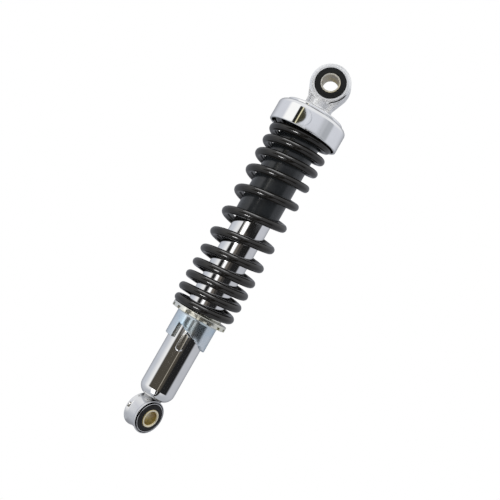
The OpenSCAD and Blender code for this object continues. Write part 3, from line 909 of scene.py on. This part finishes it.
def upper_eye():
    """Cast eye: a barrel with raised faces, and a ribbed neck on a round base."""
    centre = high_z("upper_eye") - UPPER_BARREL_R
    half = UPPER_EYE_WIDTH / 2
    base = high_z("spring_cap") - centre
    eye = join([*eye_barrel(half), *eye_neck(base), *eye_foot(base)])
    cast(eye, CAST_VOXEL, CAST_SMOOTHING)
    tool = lathe("bore", [
        (0, -2 * half), (UPPER_RUBBER_R, -2 * half), (UPPER_RUBBER_R, 2 * half),
        (0, 2 * half)], 160)
    cut(eye, place(tool, ALONG_BOLT))
    flat = lathe("flat", [
        (0, base - 9 * MM), (30 * MM, base - 9 * MM), (30 * MM, base), (0, base)], 8)
    cut(eye, flat)
    cut(eye, parting_groove(half - BOSS_PROUD))
    spigot_low = low_z("upper_eye") - centre
    spigot = lathe("spigot", rounded([
        (ROD_R, spigot_low, 0.2 * MM), (SPIGOT_R, spigot_low, 0.4 * MM),
        (SPIGOT_R, base + 0.5 * MM, 0), (ROD_R, base + 0.5 * MM, 0)], 4), 96)
    rod_hole = lathe("rod_hole", [
        (0, base - 1 * MM), (ROD_R, base - 1 * MM), (ROD_R, base + ROD_HOLE_DEPTH),
        (0, base + ROD_HOLE_DEPTH)], 64)
    cut(eye, rod_hole)
    eye = join([eye, spigot])
    tidy(eye, 50)
    place(eye, eye_matrix("upper_eye_bore"))
    return dress(eye, "upper_eye")


def eye_barrel(half):
    """The barrel and the disc that makes its raised faces, round the origin."""
    barrel_half = half - BOSS_PROUD
    barrel = lathe("upper_eye_cast", rounded([
        (0, -barrel_half, 0), (UPPER_BARREL_R, -barrel_half, 1.6 * MM),
        (UPPER_BARREL_R, barrel_half, 1.6 * MM), (0, barrel_half, 0)], 6), 128)
    boss = lathe("boss", rounded([
        (0, -half, 0), (BOSS_R, -half, 0.8 * MM), (BOSS_R, half, 0.8 * MM),
        (0, half, 0)], 6), 128)
    return [place(barrel, ALONG_BOLT), place(boss, ALONG_BOLT)]


def eye_neck(base):
    """The web between barrel and base, with a rib along each edge."""
    under = base - UNDERCUT
    neck_top = base + NECK_HEIGHT
    shoulder_x = UPPER_BARREL_R * math.cos(SHOULDER_TURN)
    shoulder_z = -UPPER_BARREL_R * math.sin(SHOULDER_TURN)
    parts = [prism("web", [
        (-NECK_HALF, under), (NECK_HALF, under), (NECK_HALF, neck_top),
        (shoulder_x, shoulder_z), (-shoulder_x, shoulder_z), (-NECK_HALF, neck_top)],
        WEB_HALF)]
    inside = NECK_HALF - RIB_WIDTH
    for side in (-1, 1):
        parts.append(prism("rib", [
            (side * NECK_HALF, under), (side * NECK_HALF, neck_top),
            (side * shoulder_x, shoulder_z),
            (side * (shoulder_x - 2.2 * RIB_WIDTH), shoulder_z - RIB_WIDTH * 0.4),
            (side * inside, neck_top), (side * inside, under)],
            WEB_HALF + RIB_PROUD))
    return parts


def eye_foot(base):
    """The round column inside the neck and the flared foot that it stands on."""
    under = base - UNDERCUT
    flare_low, flare_high = base + FOOT_HEIGHT, base + FOOT_HEIGHT + FOOT_FLARE
    column = lathe("column", [
        (0, under), (COLUMN_R, under), (COLUMN_R, base + COLUMN_HEIGHT),
        (0, base + COLUMN_HEIGHT)], 96)
    foot = lathe("foot", rounded([
        (0, under, 0), (BASE_R, under, 0), (BASE_R, base + 1.4 * MM, 0.5 * MM),
        (COLUMN_R + FOOT_FLARE, flare_low, FOOT_FLARE), (COLUMN_R, flare_high, 0),
        (0, flare_high, 0)], 6), 96)
    return [column, foot]


GROOVE_SIZE = 0.5 * MM
GROOVE_DEPTH = 3.4  # times its size
GROOVE_SIDES = 12


def parting_groove(face):
    """Cutter for the groove beside the near boss, from its right side down to the neck."""
    spots = [(BOSS_R + 0.15 * MM, math.radians(a)) for a in range(-9, -60, -3)]
    spots += [(BOSS_R + 0.6 * MM, math.radians(-63)), (BOSS_R + 1.3 * MM, math.radians(-67))]
    rows = []
    for k, (r, a) in enumerate(spots):
        size = GROOVE_SIZE * min(1, (k + 1) / 4, (len(spots) - k) / 2)
        ring = []
        for side in range(GROOVE_SIDES):
            b = 2 * math.pi * side / GROOVE_SIDES
            out = r + size * math.cos(b)
            y = -face + GROOVE_DEPTH * size * math.sin(b)
            ring.append((out * math.cos(a), y, out * math.sin(a)))
        rows.append(ring)
    return sheet("groove", rows, caps=True)


# ---------------------------------------------------------------- valve springs

LEAF = 0.26 * MM


def check_spring(name, node, inner_r):
    """Dished spring washer, left where it is built and following no body."""
    low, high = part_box(node)
    out = radius(node)
    washer = lathe(name, [
        (out, low.z), (out, low.z + LEAF), (inner_r, high.z), (inner_r, high.z - LEAF)], 96)
    dress(washer, node, rides=False)
    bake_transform(washer)


# ---------------------------------------------------------------- stage

VIEW_TURN = math.radians(-46.39)
VIEW_PITCH = math.radians(1.91)
VIEW_ROLL = math.radians(29.7)
VIEW_PLACE = Vector((9.63 * MM, -717.47 * MM, 140.0 * MM))
LENS_MM = 60.79
SENSOR_MM = 36


def camera():
    """Level with the spring's middle, and rolled so that the shock leans to the right."""
    turn = Matrix.Rotation(VIEW_TURN, 3, "Z")
    side = turn @ Vector((1, 0, 0))
    ahead = turn @ Vector((0, 1, 0))
    look = ahead * math.cos(VIEW_PITCH) + UP * math.sin(VIEW_PITCH)
    level_up = UP * math.cos(VIEW_PITCH) - ahead * math.sin(VIEW_PITCH)
    right = side * math.cos(VIEW_ROLL) + level_up * math.sin(VIEW_ROLL)
    up = level_up * math.cos(VIEW_ROLL) - side * math.sin(VIEW_ROLL)
    data = bpy.data.cameras.new("camera")
    data.lens = LENS_MM
    data.sensor_width = SENSOR_MM
    data.clip_start, data.clip_end = 0.01, 100
    obj = bpy.data.objects.new("camera", data)
    bpy.context.scene.collection.objects.link(obj)
    rotation = Matrix((right, up, -look)).transposed().to_4x4()
    obj.matrix_world = Matrix.Translation(turn @ VIEW_PLACE) @ rotation
    bpy.context.scene.camera = obj


# What polished metal sees. Each panel: left and right edge and bottom and top edge in
# degrees, from the camera's direction and the horizon; softness across and up; colour.
PANELS = [
    # dark opening round the camera, warm at its left
    (-59, 70, -15, 3.9, 14, 1, (0.018, 0.0180, 0.019)),
    (-54, 66, 2.5, 8, 4, 2, (0.014, 0.014, 0.014)),
    (-56, 20, -14, -5.2, 14, 1, (0.078, 0.069, 0.055)),
    (-3, 26, -80, -13, 3, 2, (0.014, 0.012, 0.011)),
    (6, 10, -60, -16, 2, 2, (0.60, 0.60, 0.60)),
    # seen in the damper tube above the collar
    (-10, 6, -3.4, 4.2, 8, 0.6, (0.150, 0.132, 0.115)),
    (6, 22, -3.4, 4.2, 8, 0.6, (0.050, 0.046, 0.043)),
    # seen in the preload collar
    (-48, -32, -5.2, -3.4, 10, 0.5, (0.32, 0.31, 0.30)),
    (-30, -17, -5.2, -3.4, 8, 0.5, (1.8, 1.75, 1.6)),
    (-4, 7, -5.2, -3.4, 5, 0.5, (1.25, 1.18, 1.02)),
    (7, 24, -5.2, -3.4, 16, 0.5, (0.20, 0.18, 0.16)),
    # thin line down the tube
    (1.5, 5, -14, -5.2, 2, 1, (0.48, 0.44, 0.37)),
    # seen in the dust cover
    (-42, -11, 4.0, 7.6, 10, 2, (0.85, 0.83, 0.78)),
    (-31, -26.5, 3.0, 5.6, 3, 1.5, (5.5, 5.3, 5.0)),
]
# Panels seen in the spring cap, which lie over the others
CAP_PANELS = [
    (-85, -48, 7, 30, 14, 5, (1.15, 1.15, 1.14)),
    (35, 73, 7, 30, 18, 5, (0.55, 0.57, 0.61)),
    (51, 73, 7, 30, 9, 5, (0.455, 0.475, 0.51)),
    (-11, -7, 7, 15, 5, 1, (0.80, 0.81, 0.86)),
]
# The dark strip in the cap, in the same degrees. Its right edge and a thin arc beside it
# bow: they lie further left by BOW times the squared height over or under BOW_HEIGHT.
STRIP_LEFT = -49
STRIP_RIGHT = -17
STRIP_BOTTOM = 7
STRIP_TOP = 18
BLACK_RIGHT = -40
GOLD_LEFT = -39.5
GOLD_RIGHT = -36
ARC_LINE = 1.5
ARC_HALF = 1.2
BOW_HEIGHT = 11.4
BOW = 1.6
STRIP_OLIVE = (0.055, 0.050, 0.030, 1)
STRIP_BLACK = (0.020, 0.019, 0.016, 1)
STRIP_GOLD = (0.90, 0.84, 0.56, 1)
ARC_GREY = (0.44, 0.46, 0.50, 1)

# The white tent behind the panels. Each step: what is measured, where its colour starts
# and where it is full, in degrees, and the colour.
TENT_LEFT = (0.62, 0.65, 0.71, 1)
TENT_FRONT = (1.0, 1.0, 1.0, 1)
TENT_BEHIND = (0.30, 0.31, 0.34, 1)
TENT_STEPS = [
    ("across", 0, 66, (0.565, 0.58, 0.625, 1)),
    ("height", 3, 9, (0.72, 0.74, 0.80, 1)),
    ("height", 14, 40, (0.92, 0.93, 0.95, 1)),
    ("height", -18, -50, (0.50, 0.52, 0.56, 1)),
]
WHITE = (1, 1, 1, 1)

# Lights that shine on one piece only. Each: name, piece, height of the place it points at,
# direction as above, width and height, radiance.
PIECE_LIGHTS = [
    ("spring_glint", "main_spring_coil", 0.19, -24.5, -29, 0.55, 0.24, 45),
    ("spring_overhead", "main_spring_coil", 0.19, -35, 60, 1.8, 1.0, 4.5),
    ("tube_front", "damper_tube_drawn", 0.15, -21.5, -0.4, 0.52, 0.44, 0.82),
    ("tube_front_edges", "damper_tube_drawn", 0.15, -22.5, -0.4, 0.92, 0.44, 0.42),
    ("dome_patch", "damper_tube_drawn", 0.02, -21, -40, 0.80, 1.60, 1.6),
    ("collar_left", "preload_collar_pressed", 0.08, -60, -5, 0.40, 0.60, 0.7),
    ("collar_middle", "preload_collar_pressed", 0.08, -24, -5, 0.40, 0.60, 0.7),
    ("collar_right", "preload_collar_pressed", 0.08, 1, -5, 0.30, 0.60, 0.6),
]
LIGHT_REACH = 2.0


def between(tree, value, low, high, soft):
    """One where the value lies between two limits, nothing outside, with soft edges."""
    rise = tree.spread(value, low - soft / 2, low + soft / 2, smooth=True)
    fall = tree.spread(value, high - soft / 2, high + soft / 2, 1, 0, smooth=True)
    return tree.math("MULTIPLY", rise, fall)


def tent(tree, across, height):
    """White in front, greyer to the sides, above and below, and dim behind the shock."""
    colour = tree.mix(tree.spread(across, -110, -60, smooth=True), TENT_LEFT, TENT_FRONT)
    for measured, start, full, shade in TENT_STEPS:
        value = across if measured == "across" else height
        colour = tree.mix(tree.spread(value, start, full), colour, shade)
    behind = tree.spread(tree.math("ABSOLUTE", across), 115, 175, smooth=True)
    return tree.mix(behind, colour, TENT_BEHIND)


def lay_panels(tree, across, height, colour):
    for left, right, bottom, top, soft_across, soft_up, shade in PANELS + CAP_PANELS:
        share = tree.math("MULTIPLY", between(tree, across, left, right, soft_across),
                          between(tree, height, bottom, top, soft_up))
        colour = tree.mix(share, colour, (*shade, 1))
    return colour


def lay_strip(tree, across, height, colour):
    """The cap's dark strip: olive, black at its left with a gold line, and the arc."""
    dip = tree.math("SUBTRACT", height, BOW_HEIGHT)
    bow = tree.math("MULTIPLY", tree.math("MULTIPLY", dip, dip), BOW)
    bowed = tree.math("ADD", across, bow)
    in_cap = between(tree, height, STRIP_BOTTOM, STRIP_TOP, 1)
    strip = tree.math("MULTIPLY", tree.spread(across, STRIP_LEFT - 1, STRIP_LEFT + 1),
                      tree.spread(bowed, STRIP_RIGHT + 2, STRIP_RIGHT - 2))
    strip = tree.math("MULTIPLY", strip, in_cap)
    colour = tree.mix(strip, colour, STRIP_OLIVE)
    black = between(tree, across, STRIP_LEFT, BLACK_RIGHT, 2)
    colour = tree.mix(tree.math("MULTIPLY", strip, black), colour, STRIP_BLACK)
    gold = between(tree, across, GOLD_LEFT, GOLD_RIGHT, 1)
    colour = tree.mix(tree.math("MULTIPLY", gold, in_cap), colour, STRIP_GOLD)
    arc = between(tree, bowed, ARC_LINE - ARC_HALF, ARC_LINE + ARC_HALF, 2)
    return tree.mix(tree.math("MULTIPLY", arc, in_cap), colour, ARC_GREY)


def studio():
    """White to the camera; a light tent with dark openings round the camera to metal."""
    world = bpy.data.worlds.new("studio")
    bpy.context.scene.world = world
    tree = Tree(world)
    way = tree.add("ShaderNodeTexCoord", out=0)
    way = tree.add("ShaderNodeVectorRotate", {"Vector": way, "Angle": -VIEW_TURN},
                   rotation_type="Z_AXIS")
    x, y, z = tree.node("ShaderNodeSeparateXYZ", {"Vector": way}).outputs
    front = tree.math("MULTIPLY", y, -1.0)
    across = tree.math("DEGREES", tree.math("ARCTAN2", x, front))
    height = tree.math("DEGREES", tree.math("ARCSINE", z))
    colour = tent(tree, across, height)
    colour = lay_panels(tree, across, height, colour)
    colour = lay_strip(tree, across, height, colour)
    reflected = tree.add("ShaderNodeBackground", {"Color": colour})
    plain = tree.add("ShaderNodeBackground", {"Color": WHITE})
    to_metal = tree.add("ShaderNodeLightPath", out="Is Glossy Ray")
    both = tree.add("ShaderNodeMixShader", {0: to_metal, 1: plain, 2: reflected})
    tree.node("ShaderNodeOutputWorld", {"Surface": both})


def piece_lights():
    """Lights kept to one piece each, so that its gloss doesn't need a bright room."""
    for name, piece, aim_z, across, height, width, tall, radiance in PIECE_LIGHTS:
        lit = bpy.data.collections.new(name)
        lit.objects.link(bpy.data.objects[piece])
        a, h = math.radians(across), math.radians(height)
        ahead = Vector((math.sin(a) * math.cos(h), -math.cos(a) * math.cos(h), math.sin(h)))
        ahead = Matrix.Rotation(VIEW_TURN, 3, "Z") @ ahead
        data = bpy.data.lights.new(name, "AREA")
        data.shape = "RECTANGLE"
        data.size, data.size_y = width, tall
        data.energy = radiance * math.pi * width * tall
        obj = bpy.data.objects.new(name, data)
        bpy.context.scene.collection.objects.link(obj)
        turn = ahead.to_track_quat("Z", "Y").to_matrix().to_4x4()
        place_at = Vector((0, 0, aim_z)) + ahead * LIGHT_REACH
        obj.matrix_world = Matrix.Translation(place_at) @ turn
        obj.visible_diffuse = False
        obj.visible_camera = False
        obj.light_linking.receiver_collection = lit


FLOOR_HALF = 6.0
FLOOR_GAP = 0.5 * MM


def floor():
    """A pale floor just under the lower eye. It doesn't show in the metal."""
    height = cad_low.z - FLOOR_GAP
    corners = [(x * FLOOR_HALF, y * FLOOR_HALF, height)
               for x, y in ((-1, -1), (1, -1), (1, 1), (-1, 1))]
    obj = new_object("floor", corners, [(0, 1, 2, 3)])
    material = bpy.data.materials.new("pale_floor")
    tree = Tree(material)
    pale = tree.add("ShaderNodeEmission", {"Color": WHITE})
    clear = tree.add("ShaderNodeBsdfTransparent")
    underneath = tree.add("ShaderNodeNewGeometry", out="Backfacing")
    both = tree.add("ShaderNodeMixShader", {0: underneath, 1: pale, 2: clear})
    tree.node("ShaderNodeOutputMaterial", {"Surface": both})
    obj.data.materials.append(material)
    obj.visible_glossy = False
    obj.visible_diffuse = False
    obj.visible_shadow = False


# ---------------------------------------------------------------- the whole object

dress_cad_nodes()
damper_tube()
lower_eye()
rubber_bush("lower_rubber_moulded", "lower_rubber_bush", LOWER_SLEEVE_R, LOWER_RUBBER_R,
            LOWER_RUBBER_HALF, LOWER_EYE_WIDTH / 2)
rubber_bush("upper_rubber_moulded", "upper_rubber_bush", UPPER_SLEEVE_R, UPPER_RUBBER_R,
            UPPER_RUBBER_HALF, UPPER_EYE_WIDTH / 2)
sleeve("lower_sleeve_turned", "lower_sleeve", LOWER_SLEEVE_BORE_R, LOWER_SLEEVE_R,
       LOWER_SLEEVE_HALF)
sleeve("upper_sleeve_turned", "upper_sleeve", UPPER_SLEEVE_BORE_R, UPPER_SLEEVE_R,
       UPPER_SLEEVE_HALF)
preload_collar()
main_spring()
spring_cap()
dust_cover()
upper_eye()
check_spring("base_check_spring_dished", "base_check_spring", 2.9 * MM)
check_spring("piston_check_spring_dished", "piston_check_spring", 5.3 * MM)
camera()
studio()
piece_lights()
floor()
bpy.context.scene.view_settings.view_transform = "Standard"
